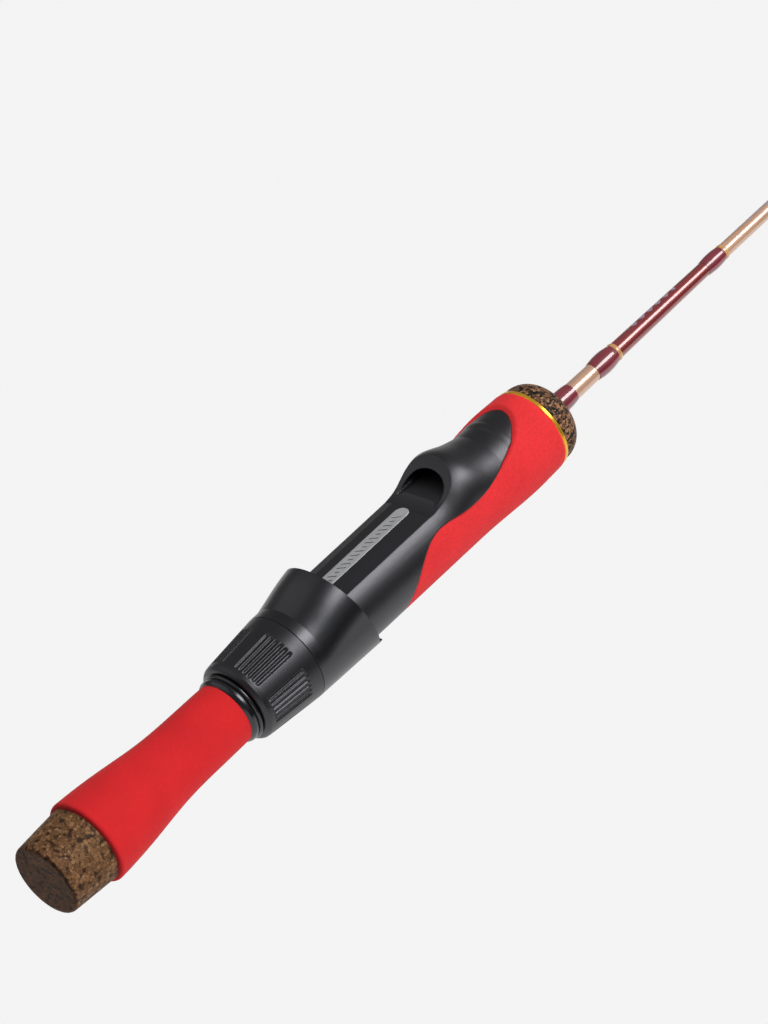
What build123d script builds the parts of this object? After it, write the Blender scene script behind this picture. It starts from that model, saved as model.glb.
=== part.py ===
from build123d import *
from math import cos, radians, sin, sqrt
import os

# An ice fishing rod.  The origin is the centre of the butt face, +X runs along the rod to the tip,
# and +Z points to the side that carries the reel and the line guides.  Millimetres.

# ---- Lengths along the rod ----------------------------------------------------------------------
rod_length = 660.0
butt_cap_length = 15.5
rear_grip_length = 56.1
collar_length = 3.6
nut_gap = 0.3            # between the collar and the lock nut when the nut is fully back
nut_length = 20.3
hood_seam = 0.2          # between the lock nut and the sliding hood
hood_top_length = 16.4   # along the sliding hood's top edge
hood_rake = 7.5          # how much further forward the hood's bottom edge is than its top edge
hood_tab = 1.2           # step forward of the hood's lowest lip
hood_travel = 12.0
hood_flange = 2.0        # inside the hood, bearing on the thread
neck_length = 3.4        # the hood's neck, inside the nut
saddle_length = 40.0     # from the step in front of the threaded tail to the fixed hood's mouth
scoop_length = 14.5      # the fixed hood's mouth, seen from the side
tongue_length = 27.6     # from the top of the mouth to the tip of the tongue
fore_grip_nose = 5.9     # foam in front of the tongue
trim_ring_length = 1.2
front_cork_length = 8.4

# ---- Radii, stacked outwards from the blank -----------------------------------------------------
blank_butt_radius = 3.35
blank_grip_radius = 2.82
blank_waist_radius = 2.16
blank_tip_radius = 0.75
seat_bore_radius = 7.5
core_wall = 1.5
grip_thickness = 3.5
thread_depth = 0.6
thread_pitch = 2.0
thread_clearance = 0.2
neck_wall = 1.5
snap_lip = 0.6
hood_clearance = 0.5     # sliding hood over the seat body
hood_wall = 0.8
hood_flare = 0.5         # the sliding hood's extra radius at its front
nut_taper = 1.55
nut_rounding = 1.3       # at the nut's rear edge
running_clearance = 0.3

# ---- Smaller features ---------------------------------------------------------------------------
butt_face_radius = 11.0
butt_cap_radius = 11.9
butt_cap_edge = 1.0
grip_lip_radius = 13.07
grip_waist_radius = 10.15
grip_front_radius = 9.4
grip_lip_edge = 1.4
collar_rear_radius = 10.2
collar_front_radius = 10.6
collar_groove = 0.35         # between the collar's two beads
collar_split = 0.68          # where that groove lies, as a share of the collar's length
grip_shoulder = 0.29         # shares of the rear grip's length: halfway down to the waist, and the waist
grip_waist = 0.53
key_width = 3.0
key_clearance = 0.1
keyway_depth = 1.2
rib_panels = 6
groove_depth = 0.5
groove_length = 14.2
groove_setback = 2.2         # from the nut's rear face
first_panel_angle = 62.0     # from +Y towards +Z
ribs_per_panel = 5
rib_pitch_angle = 7.1
rib_width = 0.65
thread_run_in = 1.0          # plain core before and after the thread
thread_run_out = 3.0
thread_relief = 1.5          # plain bore between the nut's thread and its counterbore
thread_root_width = 1.3
thread_crest_width = 0.6
thread_flank_play = 0.05
snap_length = 1.2            # the lip on the hood's neck that snaps into the nut
snap_lead = 0.35             # its sloping entry
snap_clearance = 0.2
hump_inset = 0.02            # a hood's ridge starts this far inside its round body
saddle_skin = 0.8            # saddle floor above the core
saddle_bevel = 0.85          # drop from the flat strip to the rims
saddle_flat_width = 11.0
fixed_hood_rise = 4.6
fixed_hood_wall = 3.0
sliding_hood_rise = 5.9
sliding_roof = 2.0
pocket_width = 15.0
pocket_side = 0.6            # straight part of the pocket's side walls
pocket_end_width = 12.4
pocket_end_height = 1.7
pocket_depth = 11.2          # beyond the top of the mouth
inlay_width = 4.8
inlay_length = 35.4
inlay_thickness = 0.8
inlay_proud = 0.1
inlay_gap = 0.4              # left open in front of the inlay
seam_gap = 0.15              # between the black seat and the foam
fore_grip_swell = 0.8
trim_ring_radius = 12.7
front_cork_face_radius = 6.6
blank_socket_depth = 9.5     # how far the blank runs into the butt cap
front_cork_radius = 12.3
wrap_skin = 0.12
butt_wrap_length = 7.9
lower_wrap_gap = 17.4        # from the front cork to the lower wrap
lower_wrap_length = 8.7
painted_length = 40.1        # blank between the lower and upper wraps
upper_wrap_length = 7.4
band_length = 1.2
band_build_up = 0.2

# ---- Stations and radii that follow -------------------------------------------------------------
rear_grip_start = butt_cap_length
rear_grip_end = rear_grip_start + rear_grip_length
seat_start = rear_grip_end + collar_length
nut_start = seat_start + nut_gap
nut_end = nut_start + nut_length
hood_start = nut_end + hood_seam
hood_top_end = hood_start + hood_top_length
hood_bottom_end = hood_top_end + hood_rake

core_radius = seat_bore_radius + core_wall
body_radius = core_radius + grip_thickness
thread_radius = core_radius + thread_depth
nut_minor_radius = core_radius + thread_clearance
nut_major_radius = thread_radius + thread_clearance
neck_bore_radius = thread_radius + running_clearance
neck_radius = neck_bore_radius + neck_wall
snap_radius = neck_radius + snap_lip
hood_bore_radius = body_radius + hood_clearance
hood_rear_radius = hood_bore_radius + hood_wall
hood_front_radius = hood_rear_radius + hood_flare
nut_front_radius = hood_rear_radius
nut_rear_radius = nut_front_radius - nut_taper

neck_start = hood_start - neck_length
hood_shoulder = hood_start + hood_flange
body_start = hood_shoulder + hood_travel + running_clearance
mouth_start = body_start + saddle_length
mouth_top = mouth_start + scoop_length
tongue_tip = mouth_top + tongue_length
fore_grip_end = tongue_tip + fore_grip_nose
trim_ring_end = fore_grip_end + trim_ring_length
handle_end = trim_ring_end + front_cork_length

saddle_height = core_radius + saddle_skin
rim_height = saddle_height - saddle_bevel
rim_half_width = sqrt(body_radius**2 - rim_height**2)
mouth_height = body_radius + fixed_hood_rise
pocket_top = mouth_height - fixed_hood_wall
bevel_slope = saddle_bevel / (rim_half_width - saddle_flat_width / 2)

thread_start = seat_start + thread_run_in
thread_length = nut_end + hood_travel - thread_start
lower_wrap_start = handle_end + lower_wrap_gap
lower_wrap_end = lower_wrap_start + lower_wrap_length
upper_wrap_start = lower_wrap_end + painted_length
upper_wrap_end = upper_wrap_start + upper_wrap_length

blank_start = butt_cap_length - blank_socket_depth
blank_waist = handle_end + 62.0
blank_end = rod_length - 5.0


# ---- Helpers ------------------------------------------------------------------------------------
def finish(builder, name):
    """Label one finished piece and write it."""
    builder.part.label = name
    export_step(builder.part, f"parts/{name}.step")


def blank_radius(x):
    """The blank's radius at x, from its four tapering stations."""
    stations = [
        (blank_start, blank_butt_radius),
        (handle_end, blank_grip_radius),
        (blank_waist, blank_waist_radius),
        (blank_end, blank_tip_radius),
    ]
    for (x0, r0), (x1, r1) in zip(stations, stations[1:]):
        if x <= x1:
            return r0 + (r1 - r0) * (x - x0) / (x1 - x0)
    return blank_tip_radius


def stadium_section(x, radius, rise):
    """A closed section across the rod: a round underside and a round top raised by rise."""
    with BuildSketch(Plane.YZ.offset(x)) as section:
        with BuildLine():
            ThreePointArc((-radius, 0), (0, -radius), (radius, 0))
            Line((radius, 0), (radius, rise))
            ThreePointArc((radius, rise), (0, radius + rise), (-radius, rise))
            Line((-radius, rise), (-radius, 0))
        make_face()
    return section.sketch


def hump(outline, mode=Mode.ADD):
    """A round-topped ridge over the rod's axis, from (x, radius, rise) stations.

    Its flanks stand straight up from the height of the axis, and a rise below zero hides the ridge
    inside a round body of the same radius.
    """
    depth = max(radius for x, radius, rise in outline)
    sections = []
    for x, radius, rise in outline:
        with BuildSketch(Plane.YZ.offset(x)) as section:
            with BuildLine():
                Polyline((-radius, rise), (-radius, -depth), (radius, -depth), (radius, rise))
                ThreePointArc((radius, rise), (0, radius + rise), (-radius, rise))
            make_face()
        sections.append(section.sketch)
    with BuildPart() as ridge:
        loft(sections)
        split(bisect_by=Plane.XY, keep=Keep.TOP)
    add(ridge.part, mode=mode)


def turned(x0, x1, radius0, radius1, mode=Mode.ADD):
    """A cone or cylinder about the rod's axis."""
    with BuildSketch(Plane.XZ) as profile:
        with BuildLine():
            Polyline((x0, 0), (x1, 0), (x1, radius1), (x0, radius0), close=True)
        make_face()
    revolve(profile.sketch, axis=Axis.X, mode=mode)


def thread_ridge(start, length, radius, root_width, crest_width, depth):
    """A helical ridge from radius to radius + depth (inwards where depth is negative)."""
    overlap = -0.1 if depth > 0 else 0.1
    with BuildPart() as ridge:
        with BuildLine() as path:
            Helix(pitch=thread_pitch, height=length, radius=radius)
        profile_plane = Plane(origin=path.line @ 0, z_dir=path.line % 0, x_dir=(1, 0, 0))
        with BuildSketch(profile_plane):
            with BuildLine():
                Polyline(
                    (overlap, -root_width / 2),
                    (depth, -crest_width / 2),
                    (depth, crest_width / 2),
                    (overlap, root_width / 2),
                    close=True,
                )
            make_face()
        sweep(path=path.line, is_frenet=True)
    along_rod = Plane(origin=(start, 0, 0), x_dir=(0, 1, 0), z_dir=(1, 0, 0))
    return along_rod * ridge.part


os.makedirs("parts", exist_ok=True)

# ---- Blank --------------------------------------------------------------------------------------
with BuildPart() as blank:
    with BuildSketch(Plane.XZ):
        with BuildLine():
            Polyline(
                (blank_start, 0),
                (blank_start, blank_butt_radius),
                (handle_end, blank_grip_radius),
                (blank_waist, blank_waist_radius),
                (blank_end, blank_tip_radius),
                (blank_end, 0),
                close=True,
            )
        make_face()
    revolve(axis=Axis.X)
finish(blank, "blank")

# ---- Butt cap and rear grip ---------------------------------------------------------------------
with BuildPart() as butt_cap:
    turned(0, butt_cap_length, butt_face_radius, butt_cap_radius)
    fillet(butt_cap.edges().filter_by(GeomType.CIRCLE).sort_by(Axis.X)[0], butt_cap_edge)
    add(blank.part, mode=Mode.SUBTRACT)
finish(butt_cap, "butt_cap")

with BuildPart() as rear_grip:
    grip_shoulder_radius = 0.56 * grip_lip_radius + 0.44 * grip_waist_radius
    with BuildSketch(Plane.XZ):
        with BuildLine():
            Spline(
                (rear_grip_start, grip_lip_radius),
                (rear_grip_start + grip_shoulder * rear_grip_length, grip_shoulder_radius),
                (rear_grip_start + grip_waist * rear_grip_length, grip_waist_radius),
                (rear_grip_end, grip_front_radius),
                tangents=[(1, -0.04), (1, -0.03)],
            )
            Line((rear_grip_end, grip_front_radius), (rear_grip_end, 0))
            Line((rear_grip_end, 0), (rear_grip_start, 0))
            Line((rear_grip_start, 0), (rear_grip_start, grip_lip_radius))
        make_face()
    revolve(axis=Axis.X)
    fillet(rear_grip.edges().filter_by(GeomType.CIRCLE).sort_by(Axis.X)[0], grip_lip_edge)
    add(blank.part, mode=Mode.SUBTRACT)
finish(rear_grip, "rear_grip")

# ---- Rear collar: two beads with a groove between them ------------------------------------------
with BuildPart() as rear_collar:
    bead_split = rear_grip_end + collar_split * collar_length
    groove_radius = collar_rear_radius - collar_groove
    with BuildSketch(Plane.XZ):
        with BuildLine():
            Line((rear_grip_end, seat_bore_radius), (rear_grip_end, grip_front_radius))
            ThreePointArc(
                (rear_grip_end, grip_front_radius),
                (rear_grip_end + 0.4 * collar_length, collar_rear_radius),
                (bead_split, groove_radius),
            )
            ThreePointArc(
                (bead_split, groove_radius),
                (0.45 * bead_split + 0.55 * seat_start, collar_front_radius),
                (seat_start, groove_radius),
            )
            Line((seat_start, groove_radius), (seat_start, seat_bore_radius))
            Line((seat_start, seat_bore_radius), (rear_grip_end, seat_bore_radius))
        make_face()
    revolve(axis=Axis.X)
finish(rear_collar, "rear_collar")

# ---- Arbors that centre the blank in the reel seat ----------------------------------------------
arbor_spans = {
    "rear_arbor": (rear_grip_end, body_start),
    "front_arbor": (mouth_start, trim_ring_end),
}
for name, (start, end) in arbor_spans.items():
    with BuildPart() as arbor:
        turned(start, end, seat_bore_radius, seat_bore_radius)
        add(blank.part, mode=Mode.SUBTRACT)
    finish(arbor, name)


# ---- Reel seat ----------------------------------------------------------------------------------
# The line between the black seat and the red foam, seen from the side: x and share of the body's radius.
parting_line = [
    (body_start + 19.0, -1.14),
    (body_start + 28.1, -0.012),
    (body_start + 36.1, 0.40),
    (mouth_top - 2.9, 0.40),
    (mouth_top + 9.5, 0.49),
    (tongue_tip - 8.8, 0.70),
    (tongue_tip + 0.6, 1.08),
]


def foam_region(gap):
    """Side view of the fore grip's space, gap ahead of and below the parting line."""
    clear = 2 * body_radius
    line = [(x + gap, share * body_radius - gap) for x, share in parting_line]
    lowest = line[0]
    tip = line[-1]
    with BuildSketch(Plane.XZ) as region:
        with BuildLine():
            Spline(*line)
            Polyline(
                tip,
                (tip[0], clear),
                (handle_end, clear),
                (handle_end, -clear),
                (lowest[0], -clear),
                lowest,
            )
        make_face()
    return region.sketch


# The fixed hood's rise above the round body, as shares of its full rise: up along the mouth to its
# top, then down in a hollow for the finger.
fixed_hood_outline = [
    (mouth_start - 0.14 * scoop_length, -0.05),
    (mouth_start, 0.0),
    (mouth_start + 0.30 * scoop_length, 0.17),
    (mouth_start + 0.50 * scoop_length, 0.44),
    (mouth_start + 0.68 * scoop_length, 0.74),
    (mouth_start + 0.83 * scoop_length, 0.92),
    (mouth_top, 1.0),
    (mouth_top + 0.13 * tongue_length, 0.79),
    (mouth_top + 0.27 * tongue_length, 0.41),
    (mouth_top + 0.42 * tongue_length, 0.13),
    (mouth_top + 0.60 * tongue_length, -0.06),
    (mouth_top + 0.80 * tongue_length, -0.16),
]

# Half width, half width of the flat floor, and top of the reel foot's space, at its mouth and its end.
pocket_mouth = (pocket_width / 2, saddle_flat_width / 2, pocket_top)
pocket_end = (pocket_end_width / 2, pocket_end_width / 3, saddle_height + pocket_end_height + pocket_side)


def pocket_section(x, half_width, half_flat, top):
    """The reel foot's space across the rod: a bevelled floor, short sides and a round arch."""
    low = saddle_height - bevel_slope * (half_width - half_flat)
    spring = low + pocket_side
    with BuildSketch(Plane.YZ.offset(x)) as section:
        with BuildLine():
            Polyline(
                (-half_width, spring),
                (-half_width, low),
                (-half_flat, saddle_height),
                (half_flat, saddle_height),
                (half_width, low),
                (half_width, spring),
            )
            EllipticalCenterArc((0, spring), half_width, top - spring, start_angle=0, arc_size=180)
        make_face()
    return section.sketch


seat_thread = thread_ridge(
    thread_start,
    thread_length - thread_run_out,
    core_radius,
    thread_root_width,
    thread_crest_width,
    thread_depth,
)

with BuildPart() as reel_seat:
    # round body, then the fixed hood lofted over it
    turned(body_start, tongue_tip, body_radius, body_radius)
    hump([(x, body_radius - hump_inset, share * fixed_hood_rise) for x, share in fixed_hood_outline])

    # saddle, open from above
    clear = 3 * body_radius
    outer_drop = bevel_slope * (clear - saddle_flat_width / 2)
    with BuildSketch(Plane.YZ.offset(body_start)):
        with BuildLine():
            Polyline(
                (-clear, clear),
                (-clear, saddle_height - outer_drop),
                (-saddle_flat_width / 2, saddle_height),
                (saddle_flat_width / 2, saddle_height),
                (clear, saddle_height - outer_drop),
                (clear, clear),
                close=True,
            )
        make_face()
    extrude(amount=mouth_start - body_start, mode=Mode.SUBTRACT)

    # the mouth, cut in one arc that leaves the rims level and climbs to the hood's highest point
    mouth_foot = (mouth_start, rim_height)
    mouth_peak = (mouth_top, mouth_height)
    with BuildSketch(Plane.XZ):
        with BuildLine():
            TangentArc(mouth_foot, mouth_peak, tangent=(1, 0))
            Polyline(mouth_peak, (mouth_top, clear), (mouth_start, clear), mouth_foot)
        make_face()
    extrude(amount=clear, both=True, mode=Mode.SUBTRACT)

    # the pocket under the fixed hood
    extrude(pocket_section(mouth_start, *pocket_mouth), amount=scoop_length, mode=Mode.SUBTRACT)
    loft(
        [pocket_section(mouth_top, *pocket_mouth), pocket_section(mouth_top + pocket_depth, *pocket_end)],
        mode=Mode.SUBTRACT,
    )

    # room for the foam, then the core that runs through it
    extrude(foam_region(0), amount=clear, both=True, mode=Mode.SUBTRACT)
    turned(seat_start, fore_grip_end, core_radius, core_radius)
    add(seat_thread)

    # recess for the inlay
    inlay_centre = mouth_start - inlay_length / 2
    with BuildSketch(Plane.XY.offset(saddle_height + inlay_proud)):
        with Locations((inlay_centre + inlay_gap / 2, 0)):
            SlotOverall(inlay_length + inlay_gap, inlay_width)
    extrude(amount=-inlay_thickness, mode=Mode.SUBTRACT)

    # keyway along the underside of the threaded tail, and the bore
    with BuildSketch(Plane.XY.offset(-thread_radius + keyway_depth)):
        with Locations(((seat_start + body_start) / 2, 0)):
            Rectangle(body_start - seat_start, key_width + 2 * key_clearance)
    extrude(amount=-2 * keyway_depth, mode=Mode.SUBTRACT)
    turned(seat_start, fore_grip_end, seat_bore_radius, seat_bore_radius, mode=Mode.SUBTRACT)
finish(reel_seat, "reel_seat")

with BuildPart() as seat_inlay:
    with BuildSketch(Plane.XY.offset(saddle_height + inlay_proud)):
        with Locations((inlay_centre, 0)):
            SlotOverall(inlay_length, inlay_width)
    extrude(amount=-inlay_thickness)
finish(seat_inlay, "seat_inlay")

# ---- Sliding hood -------------------------------------------------------------------------------
hood_length = hood_bottom_end + hood_tab - hood_start
hood_outline = [
    (0.0, -0.10 * sliding_hood_rise),
    (0.14, 0.01 * sliding_hood_rise),
    (0.325, 0.245 * sliding_hood_rise),
    (0.58, 0.55 * sliding_hood_rise),
    (0.71, 0.655 * sliding_hood_rise),
    (1.0, sliding_hood_rise),
]
top_share = hood_top_length / hood_length
front_top = hood_front_radius + sliding_hood_rise * 0.64
roof_rise = front_top - sliding_roof - hood_bore_radius

with BuildPart() as sliding_hood:
    turned(hood_start, hood_start + hood_length, hood_rear_radius, hood_front_radius)
    hump([
        (hood_start + share * hood_length, hood_rear_radius + hood_flare * share - hump_inset, rise)
        for share, rise in hood_outline
    ])
    turned(neck_start, hood_start, neck_radius, neck_radius)
    turned(neck_start, neck_start + snap_length, snap_radius - snap_lead, snap_radius)

    # raked front edge, stepping forward at the lowest lip
    lip_height = -0.62 * hood_front_radius
    hood_peak = 2 * hood_front_radius
    rake_slope = hood_rake / (front_top + hood_front_radius)
    lip_x = hood_top_end + rake_slope * (front_top - lip_height)
    with BuildSketch(Plane.XZ):
        with BuildLine():
            Polyline(
                (hood_top_end - rake_slope * (hood_peak - front_top), hood_peak),
                (lip_x, lip_height),
                (lip_x + hood_tab, lip_height),
                (hood_bottom_end + hood_tab, -hood_front_radius),
                (hood_bottom_end + hood_tab, -hood_peak),
                (hood_bottom_end + hood_peak, -hood_peak),
                (hood_bottom_end + hood_peak, hood_peak),
                close=True,
            )
        make_face()
    extrude(amount=hood_peak, both=True, mode=Mode.SUBTRACT)

    # bores: over the thread, over the seat body, and up over the reel foot
    clear_end = hood_bottom_end + hood_peak
    turned(neck_start, hood_shoulder, neck_bore_radius, neck_bore_radius, mode=Mode.SUBTRACT)
    turned(hood_shoulder, clear_end, hood_bore_radius, hood_bore_radius, mode=Mode.SUBTRACT)
    hump(
        [
            (hood_shoulder, hood_bore_radius - hump_inset, -0.1 * roof_rise),
            (hood_top_end, hood_bore_radius - hump_inset, roof_rise),
            (clear_end, hood_bore_radius - hump_inset, 2 * roof_rise),
        ],
        mode=Mode.SUBTRACT,
    )

    # relief inside the lowest lip
    relief_start = lip_x - 1.0
    with BuildSketch(Plane.YZ.offset(relief_start)):
        Circle(hood_bore_radius + 0.5 * hood_wall)
        with Locations((0, hood_peak + lip_height)):
            Rectangle(2 * hood_peak, 2 * hood_peak, mode=Mode.SUBTRACT)
    extrude(amount=hood_peak, mode=Mode.SUBTRACT)

    # key that runs in the tail's keyway
    key_depth = neck_bore_radius - thread_radius + keyway_depth - thread_clearance
    with BuildSketch(Plane.XY.offset(-neck_bore_radius - neck_wall / 2)):
        with Locations((hood_start + (hood_flange - neck_length) / 2, 0)):
            Rectangle(neck_length + hood_flange, key_width)
    extrude(amount=neck_wall / 2 + key_depth)
finish(sliding_hood, "sliding_hood")

# ---- Lock nut -----------------------------------------------------------------------------------
nut_thread_start = thread_start + thread_pitch / 2
nut_thread_end = neck_start - thread_relief
nut_thread = thread_ridge(
    nut_thread_start,
    nut_thread_end - nut_thread_start,
    nut_major_radius,
    thread_root_width - thread_flank_play,
    thread_crest_width - thread_flank_play,
    -(nut_major_radius - nut_minor_radius),
)

with BuildPart() as lock_nut:
    with BuildSketch(Plane.XZ):
        with BuildLine():
            Polyline(
                (nut_start, 0),
                (nut_start, nut_rear_radius - nut_rounding),
                (nut_start + 0.3 * nut_rounding, nut_rear_radius - 0.5 * nut_rounding),
                (nut_start + 0.8 * nut_rounding, nut_rear_radius - 0.12 * nut_rounding),
                (nut_start + 1.7 * nut_rounding, nut_rear_radius + 0.05),
                (nut_end, nut_front_radius),
                (nut_end, 0),
                close=True,
            )
        make_face()
    revolve(axis=Axis.X)

    # bore, and the counterbore with its groove that the hood's neck snaps into
    turned(nut_start, nut_end, nut_major_radius, nut_major_radius, mode=Mode.SUBTRACT)
    counterbore_back = neck_start - running_clearance
    counterbore_radius = neck_radius + snap_clearance
    snap_front = neck_start + snap_length + running_clearance
    snap_bore_radius = snap_radius + snap_clearance
    turned(counterbore_back, nut_end, counterbore_radius, counterbore_radius, mode=Mode.SUBTRACT)
    turned(counterbore_back, snap_front, snap_bore_radius, snap_bore_radius, mode=Mode.SUBTRACT)
    add(nut_thread)

    # six finger panels, each a row of ribs left standing between shallow grooves
    taper_slope = (nut_front_radius - nut_rear_radius) / nut_length
    groove_middle = nut_start + groove_setback + groove_length / 2
    groove_radius = nut_rear_radius + taper_slope * (groove_middle - nut_start) - groove_depth
    groove_width = groove_radius * radians(rib_pitch_angle) - rib_width
    for panel in range(rib_panels):
        panel_angle = first_panel_angle + panel * 360 / rib_panels
        for groove in range(ribs_per_panel + 1):
            turn = panel_angle + (groove - ribs_per_panel / 2) * rib_pitch_angle
            outward = Vector(0, cos(radians(turn)), sin(radians(turn)))
            centre = Vector(groove_middle, 0, 0) + outward * groove_radius
            along = Vector(1, 0, 0) + outward * taper_slope
            square_on = outward - Vector(taper_slope, 0, 0)
            with BuildSketch(Plane(origin=centre, x_dir=along, z_dir=square_on)):
                SlotOverall(groove_length, groove_width)
            extrude(amount=4 * groove_depth, mode=Mode.SUBTRACT)
finish(lock_nut, "lock_nut")

# ---- Fore grip, trim ring and front cork --------------------------------------------------------
with BuildPart() as fore_grip:
    swell_radius = body_radius + fore_grip_swell
    with BuildSketch(Plane.XZ):
        with BuildLine():
            Polyline((body_start, 0), (body_start, body_radius), (mouth_top, body_radius))
            Spline(
                (mouth_top, body_radius),
                (tongue_tip - 3.0, swell_radius - 0.05),
                (fore_grip_end - 2.2, swell_radius - 0.3),
                (fore_grip_end, trim_ring_radius),
                tangents=[(1, 0), (1, -0.5)],
            )
            Polyline((fore_grip_end, trim_ring_radius), (fore_grip_end, 0), (body_start, 0))
        make_face()
    revolve(axis=Axis.X)
    extrude(foam_region(seam_gap), amount=2 * body_radius, both=True, mode=Mode.INTERSECT)
    turned(body_start, fore_grip_end, core_radius, core_radius, mode=Mode.SUBTRACT)
finish(fore_grip, "fore_grip")

with BuildPart() as trim_ring:
    turned(fore_grip_end, trim_ring_end, trim_ring_radius, trim_ring_radius)
    fillet(trim_ring.edges().filter_by(GeomType.CIRCLE), trim_ring_length / 4)
    turned(fore_grip_end, trim_ring_end, seat_bore_radius, seat_bore_radius, mode=Mode.SUBTRACT)
finish(trim_ring, "trim_ring")

with BuildPart() as front_cork:
    shoulder = trim_ring_end + front_cork_length / 4
    with BuildSketch(Plane.XZ):
        with BuildLine():
            Polyline(
                (shoulder, front_cork_radius),
                (trim_ring_end, front_cork_radius),
                (trim_ring_end, 0),
                (handle_end, 0),
                (handle_end, front_cork_face_radius),
            )
            ThreePointArc(
                (handle_end, front_cork_face_radius),
                (
                    shoulder + 0.76 * (handle_end - shoulder),
                    0.45 * front_cork_face_radius + 0.55 * front_cork_radius,
                ),
                (shoulder, front_cork_radius),
            )
        make_face()
    revolve(axis=Axis.X)
    add(blank.part, mode=Mode.SUBTRACT)
finish(front_cork, "front_cork")

# ---- Thread wraps and bands on the blank --------------------------------------------------------
# Each wrap: its ends, the thickness at its crown, and where the crown lies as a share of its length.
wraps = {
    "butt_wrap": (handle_end, handle_end + butt_wrap_length, 0.42, 0.45),
    "lower_wrap": (lower_wrap_start, lower_wrap_end, 0.60, 0.48),
    "lower_trim_band": (lower_wrap_end, lower_wrap_end + band_length, 0.26, 0.5),
    "upper_wrap": (upper_wrap_start, upper_wrap_end, 0.38, 0.66),
    "upper_trim_band": (upper_wrap_end, upper_wrap_end + band_length, band_build_up, 0.5),
}


def wrap_body(start, end, build_up, crown_share=0.5):
    """Thread and varnish round the blank, domed from one end to the other."""
    crown = start + crown_share * (end - start)
    first = (start, blank_radius(start) + wrap_skin)
    last = (end, blank_radius(end) + wrap_skin)
    with BuildSketch(Plane.XZ) as profile:
        with BuildLine():
            Spline(first, (crown, blank_radius(crown) + build_up), last)
            Polyline(last, (end, 0), (start, 0), first)
        make_face()
    revolve(profile.sketch, axis=Axis.X)


for name, (start, end, build_up, crown_share) in wraps.items():
    with BuildPart() as wrap:
        wrap_body(start, end, build_up, crown_share)
        add(blank.part, mode=Mode.SUBTRACT)
    finish(wrap, name)

# ---- Line guides --------------------------------------------------------------------------------
# Each guide: its station, its ring's bore radius, and the ring's height above the blank's surface.
guide_table = [
    (346.0, 3.9, 9.6),
    (438.0, 3.1, 7.4),
    (520.0, 2.5, 6.0),
    (592.0, 2.1, 5.0),
]
tip_ring_bore = 1.9
tip_ring_height = 3.6
tip_tube_length = 9.0
tip_tube_wall = 0.4
tip_wrap_length = 4.0
tip_wrap_build_up = 0.35
ring_wall = 0.8
ring_width = 1.4
ring_land = 0.5           # straight part of a ring's bore
band_wall = 0.6
frame_width = 1.0
window_wall = 0.7
foot_length = 12.0
foot_width = 1.8
foot_thickness = 0.5
foot_seat = 0.15          # how far the foot is filed down into the blank's round top
foot_cover = 0.25         # thread over the foot
brace_radius = 0.45
brace_reach = 9.0
wrap_overrun = 2.0        # thread beyond the foot's toe


def ring_insert(x, height, bore):
    """A ceramic ring with rounded edges and a short straight land in its bore."""
    rounding = (ring_width - ring_land) / 2
    inner = height + bore
    outer = inner + ring_wall
    back = x - ring_width / 2
    front = x + ring_width / 2
    bend = rounding * (1 - sqrt(0.5))
    with BuildPart() as ring:
        with BuildSketch(Plane.XZ):
            with BuildLine():
                Polyline((back, inner + rounding), (back, outer), (front, outer), (front, inner + rounding))
                ThreePointArc(
                    (front, inner + rounding),
                    (front - bend, inner + bend),
                    (front - rounding, inner),
                )
                Line((front - rounding, inner), (back + rounding, inner))
                ThreePointArc(
                    (back + rounding, inner),
                    (back + bend, inner + bend),
                    (back, inner + rounding),
                )
            make_face()
        revolve(axis=Axis((x, 0, height), (1, 0, 0)))
    return ring


def yoke(x, height, bore, base_height):
    """The stamped plate that carries a ring: a band, and arms that meet above the foot."""
    band_radius = bore + ring_wall + band_wall
    shoulder = height - 0.34 * band_radius
    spread = band_radius * sqrt(1 - 0.34**2)
    window_low = base_height + 2 * window_wall
    window_high = height - band_radius + 0.1
    with BuildSketch(Plane.YZ.offset(x - frame_width / 2)) as plate:
        with BuildLine():
            Polyline(
                (-foot_width / 2, base_height),
                (foot_width / 2, base_height),
                (spread, shoulder),
                (-spread, shoulder),
                close=True,
            )
        make_face()
        if window_high - window_low > window_wall:
            half_low = foot_width / 2 - window_wall / 2
            climb = (window_high - base_height) / (shoulder - base_height)
            half_high = half_low + (spread - foot_width / 2) * climb
            with BuildLine():
                Polyline(
                    (-half_low, window_low),
                    (half_low, window_low),
                    (half_high, window_high),
                    (-half_high, window_high),
                    close=True,
                )
            make_face(mode=Mode.SUBTRACT)
        with Locations((0, height)):
            Circle(band_radius)
            Circle(bore + ring_wall, mode=Mode.SUBTRACT)
    extrude(plate.sketch, amount=frame_width)


def foot(x, surface, direction):
    """A thin foot along the blank, narrowing to its toe."""
    toe = x + direction * foot_length
    neck = x + direction * foot_length * 0.6
    with BuildSketch(Plane.XY.offset(surface)) as outline:
        with BuildLine():
            Polyline(
                (x, -foot_width / 2),
                (neck, -foot_width / 2),
                (toe, -foot_width / 5),
                (toe, foot_width / 5),
                (neck, foot_width / 2),
                (x, foot_width / 2),
                close=True,
            )
        make_face()
    extrude(outline.sketch, amount=foot_thickness)


def brace(start, end):
    """A round wire from the ring's band down to the rear foot."""
    with BuildLine() as run:
        Line(start, end)
    with BuildSketch(Plane(origin=start, z_dir=run.line % 0)) as section:
        Circle(brace_radius)
    sweep(section.sketch, path=run.line)


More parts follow.
